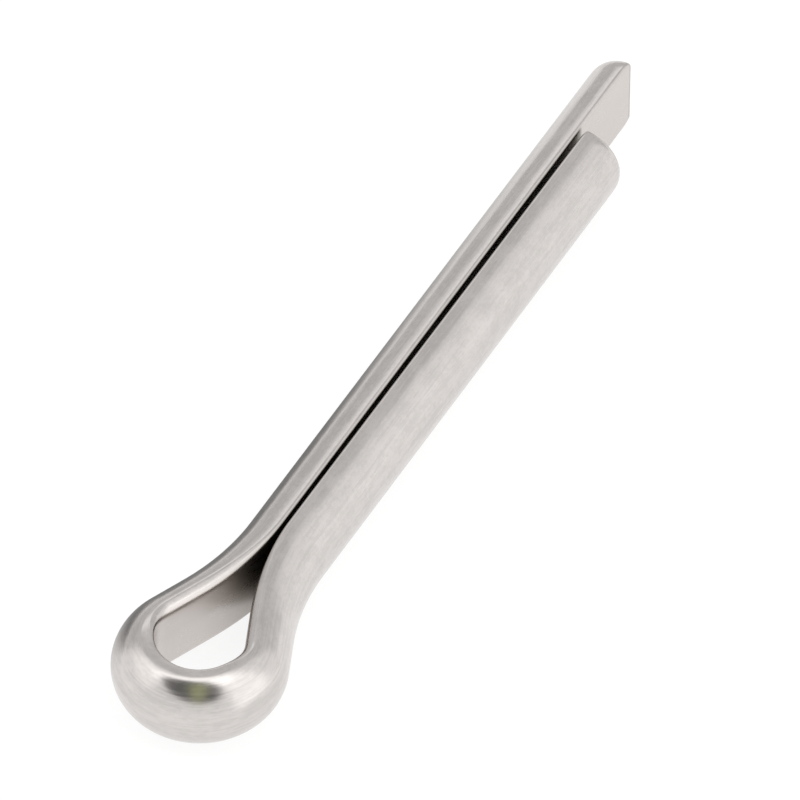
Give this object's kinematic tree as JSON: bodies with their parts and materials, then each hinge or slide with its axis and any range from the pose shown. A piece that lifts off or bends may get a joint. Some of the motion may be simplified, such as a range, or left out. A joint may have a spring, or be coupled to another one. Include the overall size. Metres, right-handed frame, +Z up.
{
  "type": "cotter pin",
  "caption": "Split cotter pin bent from half-round stainless wire: a teardrop eye and two close prongs of unequal length, for locking a clevis pin or castle nut through a drilled hole.",
  "frame": {"origin": "on the ground, under the middle of the pin's box, with the pin lying on its side", "axes": "+X along the shank from the eye to the tips, +Y across the split towards the long prong, +Z up along the flats"},
  "size_m": [0.0392, 0.007, 0.0035],
  "materials": {
    "stainless_steel": "satin drawn wire"
  },
  "bodies": {
    "root": {"cotter_pin": "stainless_steel"}
  },
  "joints": []
}
